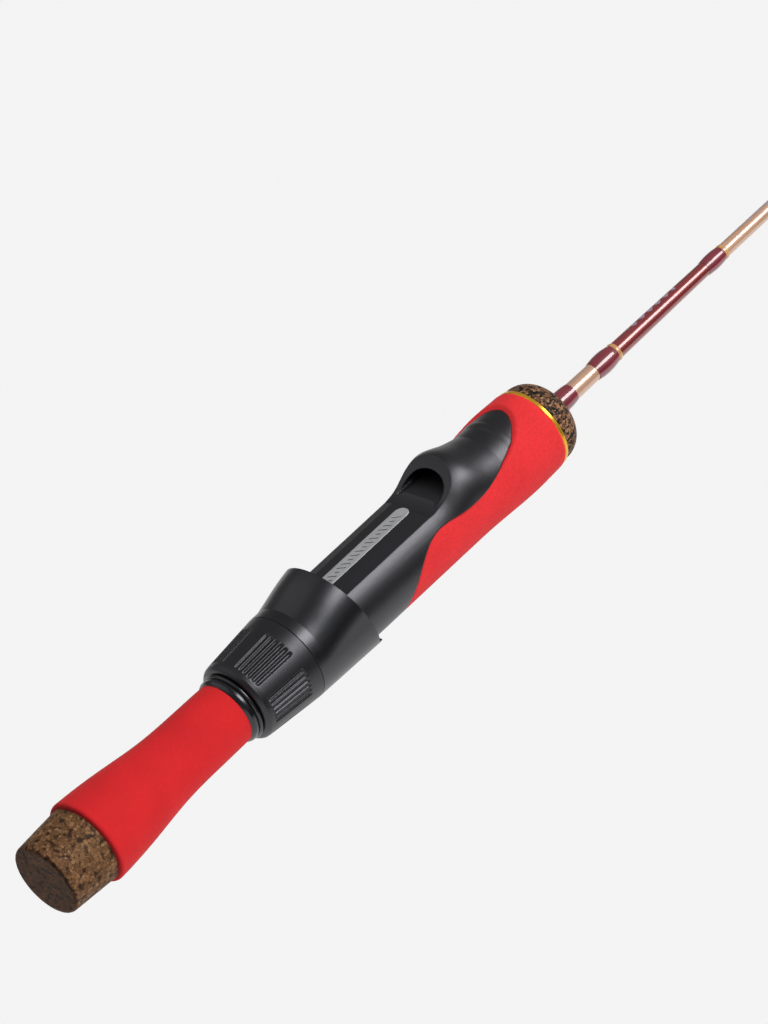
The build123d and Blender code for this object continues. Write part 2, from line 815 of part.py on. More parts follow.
def guide_wrap(heel, toe):
    """Thread wound over the blank and a foot on its top, from the foot's heel to beyond its toe."""
    shares = [
        (0.0, wrap_skin, 0.9),
        (0.12, foot_cover, 1.0),
        (0.6, foot_cover, 0.9),
        (1.0, wrap_skin, 0.02),
    ]
    sections = [
        stadium_section(
            heel + share * (toe - heel),
            blank_radius(heel + share * (toe - heel)) + cover,
            lift * foot_thickness,
        )
        for share, cover, lift in shares
    ]
    with BuildPart() as wrap:
        loft(sections)
    return wrap


for number, (station, ring_bore, rise) in enumerate(guide_table, start=1):
    surface = blank_radius(station) - foot_seat
    height = blank_radius(station) + rise
    double_foot = number == 1

    guide_ring = ring_insert(station, height, ring_bore)
    finish(guide_ring, f"guide_ring_{number}")

    with BuildPart() as guide_frame:
        yoke(station, height, ring_bore, surface)
        foot(station - frame_width / 2, surface, 1)
        if double_foot:
            foot(station - brace_reach, surface, -1)
            heel = Vector(station - brace_reach - foot_width, 0, surface + foot_thickness / 2)
            side = ring_bore + ring_wall + band_wall / 2
            for sign in (-1, 1):
                brace((station, sign * side, height), (heel.X, sign * foot_width / 4, heel.Z))
        add(guide_ring.part, mode=Mode.SUBTRACT)
        add(blank.part, mode=Mode.SUBTRACT)
    finish(guide_frame, f"guide_frame_{number}")

    spans = [(station + frame_width * 1.5, station + foot_length + wrap_overrun)]
    if double_foot:
        rear_foot = station - brace_reach
        spans.append((rear_foot - foot_width * 1.5, rear_foot - foot_length - wrap_overrun))
    with BuildPart() as guide_wraps:
        for heel, toe in spans:
            add(guide_wrap(heel, toe).part)
        add(blank.part, mode=Mode.SUBTRACT)
        add(guide_frame.part, mode=Mode.SUBTRACT)
    finish(guide_wraps, f"guide_wrap_{number}")

    band_start = spans[0][1]
    with BuildPart() as trim_band:
        wrap_body(band_start, band_start + band_length, band_build_up)
        add(blank.part, mode=Mode.SUBTRACT)
    finish(trim_band, f"guide_trim_band_{number}")

# ---- Tip top ------------------------------------------------------------------------------------
tip_station = rod_length - ring_width / 2
tip_tube_start = blank_end - tip_tube_length
tip_tube_radius = blank_radius(tip_tube_start) + tip_tube_wall
tip_height = tip_tube_radius + tip_ring_height
tip_ring = ring_insert(tip_station, tip_height, tip_ring_bore)
finish(tip_ring, "tip_ring")

with BuildPart() as tip_top_frame:
    turned(tip_tube_start, tip_station + frame_width / 2, tip_tube_radius, tip_tube_radius)
    yoke(tip_station, tip_height, tip_ring_bore, 0)
    for sign in (-1, 1):
        brace(
            (tip_station, sign * (tip_ring_bore + ring_wall + band_wall / 2), tip_height),
            (blank_end - tip_tube_length / 2, sign * tip_tube_radius / 2, tip_tube_radius / 2),
        )
    add(tip_ring.part, mode=Mode.SUBTRACT)
    add(blank.part, mode=Mode.SUBTRACT)
finish(tip_top_frame, "tip_top_frame")

with BuildPart() as tip_wrap:
    wrap_body(tip_tube_start - tip_wrap_length, tip_tube_start, tip_wrap_build_up)
    add(blank.part, mode=Mode.SUBTRACT)
finish(tip_wrap, "tip_wrap")
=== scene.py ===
import math

import bmesh
import bpy
from mathutils import Matrix, Vector, noise
from mathutils.bvhtree import BVHTree


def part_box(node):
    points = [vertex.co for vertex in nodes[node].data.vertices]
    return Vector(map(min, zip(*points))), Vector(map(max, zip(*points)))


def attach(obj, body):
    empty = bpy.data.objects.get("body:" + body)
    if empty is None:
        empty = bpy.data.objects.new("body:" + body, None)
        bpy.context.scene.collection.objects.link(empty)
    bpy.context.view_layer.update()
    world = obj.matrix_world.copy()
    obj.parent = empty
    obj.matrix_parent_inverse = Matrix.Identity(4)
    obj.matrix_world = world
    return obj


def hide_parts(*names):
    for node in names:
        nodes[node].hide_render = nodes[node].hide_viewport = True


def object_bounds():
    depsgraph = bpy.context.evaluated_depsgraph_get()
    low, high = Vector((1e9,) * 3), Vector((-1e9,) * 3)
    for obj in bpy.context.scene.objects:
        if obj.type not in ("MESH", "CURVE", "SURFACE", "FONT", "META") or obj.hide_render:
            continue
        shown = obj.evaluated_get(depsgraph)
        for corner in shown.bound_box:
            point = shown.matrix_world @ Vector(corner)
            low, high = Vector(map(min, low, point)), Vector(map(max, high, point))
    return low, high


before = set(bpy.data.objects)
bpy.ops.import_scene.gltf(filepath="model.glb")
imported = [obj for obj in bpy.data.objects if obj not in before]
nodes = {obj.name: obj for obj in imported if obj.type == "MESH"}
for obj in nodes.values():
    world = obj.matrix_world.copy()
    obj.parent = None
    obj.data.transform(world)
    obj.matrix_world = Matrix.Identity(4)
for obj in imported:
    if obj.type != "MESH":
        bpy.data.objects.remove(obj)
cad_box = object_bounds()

MM = 0.001

# ---- Camera: long lens over the butt, rolled so that the rod climbs to the right ----------------
AIM = Vector((140.2, -4.17, 17.59)) * MM
CAMERA_BACK = Vector((-0.4695, -0.6760, 0.5675)).normalized()
CAMERA_RIGHT = Vector((0.6454, -0.7013, -0.3018)).normalized()
CAMERA_DISTANCE = 2.0
CAMERA_LENS = 262.0
CAMERA_ROLL = math.radians(0.28)

camera_data = bpy.data.cameras.new("photo_camera")
camera_data.lens = CAMERA_LENS
camera_data.sensor_width = 36.0
camera_data.clip_start = 0.05
camera = bpy.data.objects.new("photo_camera", camera_data)
camera_up = CAMERA_BACK.cross(CAMERA_RIGHT).normalized()
camera_axes = Matrix((camera_up.cross(CAMERA_BACK), camera_up, CAMERA_BACK)).transposed()
camera_axes = camera_axes @ Matrix.Rotation(CAMERA_ROLL, 3, "Z")
camera.matrix_world = Matrix.Translation(AIM + CAMERA_BACK * CAMERA_DISTANCE) @ camera_axes.to_4x4()
bpy.context.scene.collection.objects.link(camera)
bpy.context.scene.camera = camera

# ---- Material helpers ---------------------------------------------------------------------------
def new_material(name):
    material = bpy.data.materials.new(name)
    material.use_nodes = True
    tree = material.node_tree
    return material, tree, tree.nodes["Principled BSDF"]


def link(tree, source, socket):
    tree.links.new(source, socket)


def texture_space(tree, scale=(1, 1, 1)):
    """Object coordinates in millimetres, stretched by scale."""
    coordinate = tree.nodes.new("ShaderNodeTexCoord")
    mapping = tree.nodes.new("ShaderNodeMapping")
    mapping.inputs["Scale"].default_value = tuple(1000 * s for s in scale)
    link(tree, coordinate.outputs["Object"], mapping.inputs["Vector"])
    return mapping.outputs["Vector"]


def noise_node(tree, vector, scale, detail=2.0, roughness=0.5):
    node = tree.nodes.new("ShaderNodeTexNoise")
    node.inputs["Scale"].default_value = scale
    node.inputs["Detail"].default_value = detail
    node.inputs["Roughness"].default_value = roughness
    link(tree, vector, node.inputs["Vector"])
    return node


def voronoi_node(tree, vector, scale, feature="F1"):
    node = tree.nodes.new("ShaderNodeTexVoronoi")
    node.feature = feature
    node.inputs["Scale"].default_value = scale
    link(tree, vector, node.inputs["Vector"])
    return node


def ramp_node(tree, value, stops, interpolation="LINEAR"):
    node = tree.nodes.new("ShaderNodeValToRGB")
    node.color_ramp.interpolation = interpolation
    elements = node.color_ramp.elements
    while len(elements) < len(stops):
        elements.new(1.0)
    for element, (position, colour) in zip(elements, stops):
        element.position = position
        element.color = (*colour, 1) if len(colour) == 3 else colour
    link(tree, value, node.inputs["Fac"])
    return node.outputs["Color"]


def math_node(tree, operation, first, second=None):
    node = tree.nodes.new("ShaderNodeMath")
    node.operation = operation
    for index, value in enumerate((first, second)):
        if value is None:
            continue
        if isinstance(value, (int, float)):
            node.inputs[index].default_value = value
        else:
            link(tree, value, node.inputs[index])
    return node.outputs["Value"]


def mix_colour(tree, factor, first, second, blend="MIX"):
    node = tree.nodes.new("ShaderNodeMix")
    node.data_type = "RGBA"
    node.blend_type = blend
    for socket, value in ((node.inputs[0], factor), (node.inputs[6], first), (node.inputs[7], second)):
        if isinstance(value, (int, float)):
            socket.default_value = value
        elif isinstance(value, tuple):
            socket.default_value = (*value, 1)
        else:
            link(tree, value, socket)
    return node.outputs[2]


def tint(tree, first, second, factor=1.0):
    return mix_colour(tree, factor, first, second, "MULTIPLY")


def separate_axes(tree, vector):
    node = tree.nodes.new("ShaderNodeSeparateXYZ")
    link(tree, vector, node.inputs["Vector"])
    return node.outputs


def bump_node(tree, height, distance_mm, strength=1.0, below=None):
    node = tree.nodes.new("ShaderNodeBump")
    node.inputs["Strength"].default_value = strength
    node.inputs["Distance"].default_value = distance_mm * MM
    link(tree, height, node.inputs["Height"])
    if below is not None:
        link(tree, below, node.inputs["Normal"])
    return node.outputs["Normal"]


# ---- Floor, world and lights --------------------------------------------------------------------
# A self-lit pale table in a dim room, one softbox above the near side towards the tip, a wide weak
# ceiling panel, and a black card low beside the near flank that the camera doesn't see.
FLOOR_DROP = 0.30
FLOOR_HALF = 30.0
FLOOR_BASE = 0.03
FLOOR_GLOW = 0.885
BACKDROP = 0.91
ROOM_GLOW = 0.17
# Each light: its direction from the handle, distance, length and width, and power.
LIGHTS = {
    "key": ((0.47, -0.63, 0.62), 1.1, (1.0, 0.46), 11.0),
    "ceiling": ((-0.40, 0.45, 0.80), 1.6, (2.0, 2.0), 5.0),
}
CARD_DIRECTION = (0.47, -0.85, -0.22)
CARD_DISTANCE = 0.55
CARD_SIZE = (1.3, 0.30)
CARD_BASE = 0.004
CORNERS = [(-1, -1), (1, -1), (1, 1), (-1, 1)]

scene = bpy.context.scene
scene.view_settings.view_transform = "Standard"


def new_sheet(name, corners, material_name, base, roughness):
    """A flat matt sheet through four corners, and its shader."""
    mesh = bpy.data.meshes.new(name)
    mesh.from_pydata(corners, [], [(0, 1, 2, 3)])
    sheet = bpy.data.objects.new(name, mesh)
    scene.collection.objects.link(sheet)
    material, _, shader = new_material(material_name)
    shader.inputs["Base Color"].default_value = (base, base, base, 1)
    shader.inputs["Roughness"].default_value = roughness
    shader.inputs["Specular IOR Level"].default_value = 0.0
    mesh.materials.append(material)
    return sheet, shader


def add_floor():
    z = cad_box[0][2] - FLOOR_DROP
    corners = [(a * FLOOR_HALF, b * FLOOR_HALF, z) for a, b in CORNERS]
    floor, shader = new_sheet("floor", corners, "floor_paper", FLOOR_BASE, 0.9)
    shader.inputs["Emission Color"].default_value = (1, 1, 1, 1)
    shader.inputs["Emission Strength"].default_value = FLOOR_GLOW


def add_world():
    """A pale backdrop for the camera, and a dim room for everything the object reflects."""
    world = bpy.data.worlds.new("studio")
    world.use_nodes = True
    tree = world.node_tree
    background = tree.nodes["Background"]
    path = tree.nodes.new("ShaderNodeLightPath")
    glow = tree.nodes.new("ShaderNodeMapRange")
    glow.inputs["To Min"].default_value = ROOM_GLOW
    glow.inputs["To Max"].default_value = BACKDROP
    link(tree, path.outputs["Is Camera Ray"], glow.inputs["Value"])
    link(tree, glow.outputs["Result"], background.inputs["Strength"])
    background.inputs["Color"].default_value = (1, 1, 1, 1)
    scene.world = world


def add_light(name, direction, distance, size, power):
    """A soft rectangular light that faces the handle; its length runs along the rod."""
    data = bpy.data.lights.new(name, "AREA")
    data.shape = "RECTANGLE"
    data.size, data.size_y = size
    data.energy = power
    light = bpy.data.objects.new(name, data)
    away = Vector(direction).normalized()
    along = (Vector((1, 0, 0)) - away * away.x).normalized()
    axes = Matrix((along, away.cross(along), away)).transposed()
    light.matrix_world = Matrix.Translation(AIM + away * distance) @ axes.to_4x4()
    scene.collection.objects.link(light)


def add_flag():
    """A black card that keeps the bright table out of the near flank's reflections."""
    away = Vector(CARD_DIRECTION).normalized()
    along = Vector((0, 0, 1)).cross(away).normalized()
    upright = away.cross(along)
    middle = AIM + away * CARD_DISTANCE
    half_width, half_height = CARD_SIZE[0] / 2, CARD_SIZE[1] / 2
    corners = [middle + along * (a * half_width) + upright * (b * half_height) for a, b in CORNERS]
    flag, _ = new_sheet("flag", corners, "flag_felt", CARD_BASE, 1.0)
    flag.visible_camera = False


add_floor()
add_world()
for light_name, settings in LIGHTS.items():
    add_light(light_name, *settings)
add_flag()


# ---- Materials ----------------------------------------------------------------------------------
GRIP_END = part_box("rear_grip")[0].x / MM
PAINTED_SHADE_SPAN = 2.0        # millimetres from the rear grip's cut end that the painted shade ramp below covers
# Painted shade: the foam's colour is darkened over the first millimetre or so from the rear grip's cut
# end
PAINTED_END_SHADE = [(0.08, (0.42, 0.36, 0.36)), (0.42, (1.0, 1.0, 1.0))]


def foam_material(name, base, speckle_strength):
    """Closed-cell EVA foam: matte red with fine pores and slight mottling, and painted shade darkening
    its cut end.
    """
    material, tree, shader = new_material(name)
    space = texture_space(tree)
    mottle = noise_node(tree, space, 0.10, 3.0)
    speckle = noise_node(tree, space, 1.6, 4.0, 0.7)
    colour = ramp_node(tree, mottle.outputs["Fac"], [(0.3, base), (0.7, tuple(c * 1.12 for c in base))])
    specks = ramp_node(
        tree, speckle.outputs["Fac"], [(0.35, (0.78, 0.78, 0.78)), (0.65, (1.0, 1.0, 1.0))]
    )
    tinted = tint(tree, colour, specks, speckle_strength)
    axes = separate_axes(tree, space)
    # painted shade: darker colour close to the rear grip's cut end, where the cork meets it
    from_end = math_node(tree, "SUBTRACT", axes["X"], GRIP_END)
    painted_end_shade = ramp_node(tree, math_node(tree, "MULTIPLY", from_end, 1 / PAINTED_SHADE_SPAN), PAINTED_END_SHADE)
    shaded = tint(tree, tinted, painted_end_shade)
    link(tree, shaded, shader.inputs["Base Color"])
    shader.inputs["Roughness"].default_value = 0.82
    shader.inputs["Specular IOR Level"].default_value = 0.15
    shader.inputs["Sheen Weight"].default_value = 0.06
    shader.inputs["Sheen Roughness"].default_value = 0.5
    shader.inputs["Sheen Tint"].default_value = (1.0, 0.45, 0.42, 1)
    pores = voronoi_node(tree, space, 2.6)
    grain = bump_node(tree, speckle.outputs["Fac"], 0.06, 0.5)
    surface = bump_node(tree, pores.outputs["Distance"], 0.05, 0.35, below=grain)
    link(tree, surface, shader.inputs["Normal"])
    return material


def cork_material(name, chip_scale, stops, patch_scale, patch_stops, face_shade_stops, bump_mm, roughness):
    """Pressed cork: angular chips of several browns in a dark binder, and painted shade that can darken
    the end face.
    """
    material, tree, shader = new_material(name)
    space = texture_space(tree)
    bend = noise_node(tree, space, chip_scale * 0.9, 2.0)
    warped = tree.nodes.new("ShaderNodeVectorMath")
    warped.operation = "MULTIPLY_ADD"
    link(tree, bend.outputs["Color"], warped.inputs[0])
    warped.inputs[1].default_value = (0.9 / chip_scale,) * 3
    link(tree, space, warped.inputs[2])
    chips = voronoi_node(tree, warped.outputs["Vector"], chip_scale)
    edges = voronoi_node(tree, warped.outputs["Vector"], chip_scale, "DISTANCE_TO_EDGE")
    shade = tree.nodes.new("ShaderNodeSeparateColor")
    link(tree, chips.outputs["Color"], shade.inputs["Color"])
    chip_colour = ramp_node(tree, shade.outputs["Red"], stops)
    fibre = noise_node(tree, space, chip_scale * 4.0, 3.0, 0.65)
    fibre_tint = ramp_node(
        tree, fibre.outputs["Fac"], [(0.3, (0.62, 0.6, 0.58)), (0.7, (1.15, 1.12, 1.1))]
    )
    grained = tint(tree, chip_colour, fibre_tint)
    binder = ramp_node(
        tree, edges.outputs["Distance"], [(0.0, (0.35, 0.33, 0.31)), (0.10, (1.0, 1.0, 1.0))]
    )
    bound = tint(tree, grained, binder)
    patches = noise_node(tree, space, patch_scale, 1.0)
    patch_tint = ramp_node(tree, patches.outputs["Fac"], patch_stops)
    patched = tint(tree, bound, patch_tint)
    # painted shade: colour darkened by a ramp along x, near x = 0 where the butt's end face lies
    axes = separate_axes(tree, space)
    painted_face_shade = ramp_node(tree, axes["X"], face_shade_stops)
    final = tint(tree, patched, painted_face_shade)
    link(tree, final, shader.inputs["Base Color"])
    shader.inputs["Roughness"].default_value = roughness
    shader.inputs["Specular IOR Level"].default_value = 0.12
    relief = bump_node(tree, edges.outputs["Distance"], bump_mm, 0.8)
    surface = bump_node(tree, fibre.outputs["Fac"], bump_mm * 0.5, 0.6, below=relief)
    link(tree, surface, shader.inputs["Normal"])
    return material


def plastic_material(name, base, rough_low, rough_high, grain_mm, grain_scale, edge_mm, specular):
    """Moulded black plastic with a fine spark-eroded grain and softened edges."""
    material, tree, shader = new_material(name)
    space = texture_space(tree)
    cloud = noise_node(tree, space, 0.35, 3.0)
    grain = noise_node(tree, space, grain_scale, 2.0, 0.6)
    tone = ramp_node(tree, cloud.outputs["Fac"], [(0.3, base), (0.7, tuple(c * 1.25 for c in base))])
    link(tree, tone, shader.inputs["Base Color"])
    sheen = ramp_node(tree, grain.outputs["Fac"], [(0.35, (rough_low,) * 3), (0.7, (rough_high,) * 3)])
    link(tree, sheen, shader.inputs["Roughness"])
    shader.inputs["Specular IOR Level"].default_value = specular
    shader.inputs["Specular Tint"].default_value = (0.93, 0.93, 1.0, 1)
    bevel = tree.nodes.new("ShaderNodeBevel")
    bevel.samples = 6
    bevel.inputs["Radius"].default_value = edge_mm * MM
    grained = bump_node(tree, grain.outputs["Fac"], grain_mm, 0.7, below=bevel.outputs["Normal"])
    link(tree, grained, shader.inputs["Normal"])
    return material


def metal_material(name, base, roughness, metallic, brush_scale, brush_mm):
    """Metal with faint brush or turning marks around the rod's axis."""
    material, tree, shader = new_material(name)
    space = texture_space(tree, brush_scale)
    brush = noise_node(tree, space, 1.0, 4.0, 0.6)
    tone = ramp_node(tree, brush.outputs["Fac"], [(0.3, tuple(c * 0.86 for c in base)), (0.7, base)])
    link(tree, tone, shader.inputs["Base Color"])
    rough_stops = [(0.3, (roughness * 0.8,) * 3), (0.7, (roughness * 1.3,) * 3)]
    rough = ramp_node(tree, brush.outputs["Fac"], rough_stops)
    link(tree, rough, shader.inputs["Roughness"])
    shader.inputs["Metallic"].default_value = metallic
    link(tree, bump_node(tree, brush.outputs["Fac"], brush_mm, 0.5), shader.inputs["Normal"])
    return material


def thread_material(name, base, dark, thread_pitch_mm):
    """Silk winding under clear epoxy: fine turns below a smooth glossy coat."""
    material, tree, shader = new_material(name)
    space = texture_space(tree)
    wave = tree.nodes.new("ShaderNodeTexWave")
    wave.wave_type = "BANDS"
    wave.bands_direction = "X"
    wave.inputs["Scale"].default_value = math.pi / 10 / thread_pitch_mm
    wave.inputs["Distortion"].default_value = 0.4
    link(tree, space, wave.inputs["Vector"])
    lustre = noise_node(tree, texture_space(tree, (0.25, 1.2, 1.2)), 1.0, 3.0)
    wound = ramp_node(tree, wave.outputs["Fac"], [(0.1, dark), (0.8, base)])
    glow = ramp_node(tree, lustre.outputs["Fac"], [(0.3, (0.8, 0.8, 0.8)), (0.7, (1.2, 1.2, 1.2))])
    colour = tint(tree, wound, glow)
    link(tree, colour, shader.inputs["Base Color"])
    shader.inputs["Roughness"].default_value = 0.42
    shader.inputs["Coat Weight"].default_value = 1.0
    shader.inputs["Coat Roughness"].default_value = 0.07
    shader.inputs["Coat IOR"].default_value = 1.8
    link(tree, bump_node(tree, wave.outputs["Fac"], 0.02, 0.4), shader.inputs["Normal"])
    return material


MOTIF_PITCH = 3.4
MOTIF_LENGTH = 20.0
MOTIF_LINE = 0.35           # millimetres to the left of the blank's top line
MOTIF_HALF_HEIGHT = 0.8
MOTIF_TAPER = 0.6
MOTIF_COLOUR = (0.60, 0.50, 0.68)


def blank_material(paint_start, paint_end, motif_spans):
    """Champagne lacquer with a wine-red painted stretch and rows of small lilac lozenges."""
    material, tree, shader = new_material("blank_lacquer")
    space = texture_space(tree)
    axes = separate_axes(tree, space)
    weave = noise_node(tree, texture_space(tree, (0.05, 1.5, 1.5)), 1.0, 3.0)
    champagne = ramp_node(
        tree, weave.outputs["Fac"], [(0.3, (0.66, 0.38, 0.25)), (0.7, (0.80, 0.50, 0.35))]
    )
    wine = ramp_node(
        tree, weave.outputs["Fac"], [(0.3, (0.25, 0.030, 0.030)), (0.7, (0.34, 0.048, 0.048))]
    )
    after = math_node(tree, "GREATER_THAN", axes["X"], paint_start)
    before = math_node(tree, "LESS_THAN", axes["X"], paint_end)
    painted = math_node(tree, "MULTIPLY", after, before)
    ground = mix_colour(tree, painted, champagne, wine)

    # lozenges: distance along a repeat, scaled, plus distance off the motif's line, under a limit
    along = math_node(tree, "PINGPONG", axes["X"], MOTIF_PITCH / 2)
    off_line = math_node(tree, "ABSOLUTE", math_node(tree, "SUBTRACT", axes["Y"], MOTIF_LINE))
    spread = math_node(tree, "ADD", math_node(tree, "MULTIPLY", along, MOTIF_TAPER), off_line)
    lozenge = math_node(tree, "LESS_THAN", spread, MOTIF_HALF_HEIGHT)
    upper = math_node(tree, "GREATER_THAN", axes["Z"], 0.2)
    decorated = ground
    for motif_start, motif_end in motif_spans:
        after = math_node(tree, "GREATER_THAN", axes["X"], motif_start)
        before = math_node(tree, "LESS_THAN", axes["X"], motif_end)
        span = math_node(tree, "MULTIPLY", after, before)
        motif = math_node(tree, "MULTIPLY", math_node(tree, "MULTIPLY", lozenge, upper), span)
        decorated = mix_colour(tree, math_node(tree, "MULTIPLY", motif, 0.8), decorated, MOTIF_COLOUR)
    link(tree, decorated, shader.inputs["Base Color"])
    shader.inputs["Metallic"].default_value = 0.3
    shader.inputs["Roughness"].default_value = 0.34
    shader.inputs["Coat Weight"].default_value = 1.0
    shader.inputs["Coat Roughness"].default_value = 0.13
    shader.inputs["Coat IOR"].default_value = 1.8
    link(tree, bump_node(tree, weave.outputs["Fac"], 0.01, 0.4), shader.inputs["Normal"])
    return material


def ceramic_material():
    material, tree, shader = new_material("ring_ceramic")
    cloud = noise_node(tree, texture_space(tree), 1.8, 3.0)
    tone = ramp_node(
        tree, cloud.outputs["Fac"], [(0.3, (0.035, 0.036, 0.042)), (0.7, (0.06, 0.062, 0.07))]
    )
    link(tree, tone, shader.inputs["Base Color"])
    shader.inputs["Roughness"].default_value = 0.12
    shader.inputs["Coat Weight"].default_value = 0.6
    return material


CORK_LIGHT_STOPS = [
    (0.00, (0.175, 0.086, 0.038)),
    (0.30, (0.215, 0.106, 0.047)),
    (0.60, (0.265, 0.134, 0.060)),
    (0.85, (0.330, 0.172, 0.080)),
    (1.00, (0.420, 0.230, 0.110)),
]
CORK_BLOTCHES = [(0.36, (0.26, 0.28, 0.34)), (0.46, (1.0, 1.0, 1.0))]
# Painted shade on the butt cap's end face: darker within its first millimetre from x = 0
CORK_BUTT_FACE_SHADE = [(0.25, (0.36, 0.30, 0.24)), (0.75, (1.0, 1.0, 1.0))]
CORK_DARK_STOPS = [
    (0.00, (0.012, 0.012, 0.012)),
    (0.34, (0.030, 0.026, 0.022)),
    (0.42, (0.130, 0.070, 0.040)),
    (0.70, (0.300, 0.150, 0.080)),
    (1.00, (0.560, 0.300, 0.165)),
]
NO_TINT = [(0.0, (1.0, 1.0, 1.0)), (1.0, (1.0, 1.0, 1.0))]
MATERIALS = {
    "foam_rear": foam_material("eva_foam_rear", (0.76, 0.022, 0.026), 0.35),
    "foam_fore": foam_material("eva_foam_fore", (0.92, 0.040, 0.046), 0.75),
    "cork_butt": cork_material(
        "cork_butt", 0.95, CORK_LIGHT_STOPS, 0.55, CORK_BLOTCHES, CORK_BUTT_FACE_SHADE, 0.04, 0.62
    ),
    "cork_fore": cork_material(
        "cork_fore", 1.55, CORK_DARK_STOPS, 0.3, NO_TINT, NO_TINT, 0.08, 0.60
    ),
    "seat": plastic_material(
        "seat_plastic", (0.0055, 0.0055, 0.0062), 0.34, 0.48, 0.030, 5.5, 0.42, 0.90
    ),
    "hood": plastic_material(
        "hood_plastic", (0.0040, 0.0040, 0.0048), 0.29, 0.37, 0.010, 4.0, 0.28, 0.85
    ),
    "nut": plastic_material(
        "nut_plastic", (0.0045, 0.0045, 0.0053), 0.36, 0.46, 0.010, 4.0, 0.05, 0.75
    ),
    "collar": plastic_material(
        "collar_lacquer", (0.005, 0.005, 0.006), 0.22, 0.28, 0.002, 3.0, 0.05, 0.8
    ),
    "arbor": plastic_material("arbor_plastic", (0.08, 0.08, 0.085), 0.5, 0.6, 0.02, 3.0, 0.2, 0.5),
    "silver": metal_material("inlay_silver", (0.66, 0.66, 0.68), 0.45, 0.55, (0.3, 4.0, 4.0), 0.01),
    "engraving": metal_material(
        "inlay_engraving", (0.07, 0.07, 0.075), 0.5, 0.3, (1.0, 4.0, 4.0), 0.01
    ),
    "gold": metal_material("ring_gold", (1.0, 0.54, 0.045), 0.22, 0.65, (6.0, 0.4, 0.4), 0.006),
    "steel": metal_material("guide_steel", (0.60, 0.61, 0.63), 0.22, 1.0, (2.0, 2.0, 2.0), 0.006),
    "burgundy": thread_material(
        "burgundy_thread", (0.270, 0.026, 0.042), (0.200, 0.018, 0.030), 0.22
    ),
    "gold_thread": thread_material("gold_thread", (0.78, 0.42, 0.14), (0.52, 0.26, 0.08), 0.24),
    "ceramic": ceramic_material(),
}


# ---- Mesh helpers -------------------------------------------------------------------------------
SHARP_ANGLE = math.radians(32)


def dress(piece, material):
    piece.data.materials.clear()
    piece.data.materials.append(material)


def finish_mesh(mesh, sharp_angle):
    """Smooth shading, with creases kept where two faces meet sharply."""
    work = bmesh.new()
    work.from_mesh(mesh)
    bmesh.ops.recalc_face_normals(work, faces=work.faces)
    for face in work.faces:
        face.smooth = True
    for edge in work.edges:
        edge.smooth = len(edge.link_faces) == 2 and edge.calc_face_angle() < sharp_angle
    work.to_mesh(mesh)
    work.free()


def new_piece(name, vertices, faces, material, body, replaced, sharp_angle=SHARP_ANGLE):
    mesh = bpy.data.meshes.new(name)
    mesh.from_pydata(vertices, [], faces)
    finish_mesh(mesh, sharp_angle)
    piece = bpy.data.objects.new(name, mesh)
    scene.collection.objects.link(piece)
    dress(piece, material)
    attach(piece, body)
    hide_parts(*replaced)
    return piece


def lathe_mesh(profile, segments, wobble=None):
    """Vertices and faces of a closed profile of (x, radius) points turned about the rod's axis."""
    vertices = []
    faces = []
    count = len(profile)
    for turn in range(segments):
        angle = 2 * math.pi * turn / segments
        side, lift = math.cos(angle), math.sin(angle)
        for x, radius in profile:
            point = Vector((x, radius * side, radius * lift))
            vertices.append(point + wobble(point) if wobble else point)
    for turn in range(segments):
        here = turn * count
        there = (turn + 1) % segments * count
        for index in range(count):
            after = (index + 1) % count
            faces.append((here + index, here + after, there + after, there + index))
    return vertices, faces


def densify(profile, step):
    """The same closed profile with points at most step apart."""
    dense = []
    for (x0, r0), (x1, r1) in zip(profile, profile[1:] + profile[:1]):
        pieces = max(1, math.ceil(math.hypot(x1 - x0, r1 - r0) / step))
        dense += [(x0 + (x1 - x0) * i / pieces, r0 + (r1 - r0) * i / pieces) for i in range(pieces)]
    return dense


def arc_points(start, middle, end, count):
    """Points on the circle through three (x, r) points, from start to end."""
    (ax, ay), (bx, by), (cx, cy) = start, middle, end
    d = 2 * (ax * (by - cy) + bx * (cy - ay) + cx * (ay - by))
    a2, b2, c2 = ax**2 + ay**2, bx**2 + by**2, cx**2 + cy**2
    ux = (a2 * (by - cy) + b2 * (cy - ay) + c2 * (ay - by)) / d
    uy = (a2 * (cx - bx) + b2 * (ax - cx) + c2 * (bx - ax)) / d
    radius = math.hypot(ax - ux, ay - uy)
    angles = [math.atan2(y - uy, x - ux) for x, y in (start, middle, end)]
    while angles[1] - angles[0] > math.pi:
        angles[1] -= 2 * math.pi
    while angles[1] - angles[0] < -math.pi:
        angles[1] += 2 * math.pi
    sweep = math.copysign(1, angles[1] - angles[0])
    while (angles[2] - angles[0]) * sweep < 0:
        angles[2] += sweep * 2 * math.pi
    spread = angles[2] - angles[0]
    steps = [angles[0] + spread * i / count for i in range(count + 1)]
    return [(ux + radius * math.cos(a), uy + radius * math.sin(a)) for a in steps]


# ---- Sizes read from the frame ------------------------------------------------------------------
def span_of(node):
    """(low x, high x, largest radius across the rod) of a turned CAD node."""
    low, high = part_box(node)
    return low.x, high.x, (high.y - low.y) / 2


def surface_of(node):
    mesh = nodes[node].data
    points = [vertex.co for vertex in mesh.vertices]
    return BVHTree.FromPolygons(points, [tuple(face.vertices) for face in mesh.polygons])


def ring_radii(node):
    """(x, radius) of the rings of vertices along a turned CAD node, outermost at each x."""
    rings = {}
    for vertex in nodes[node].data.vertices:
        key = round(vertex.co.x / MM, 1)
        rings[key] = max(rings.get(key, 0.0), math.hypot(vertex.co.y, vertex.co.z))
    return sorted((x * MM, radius) for x, radius in rings.items())


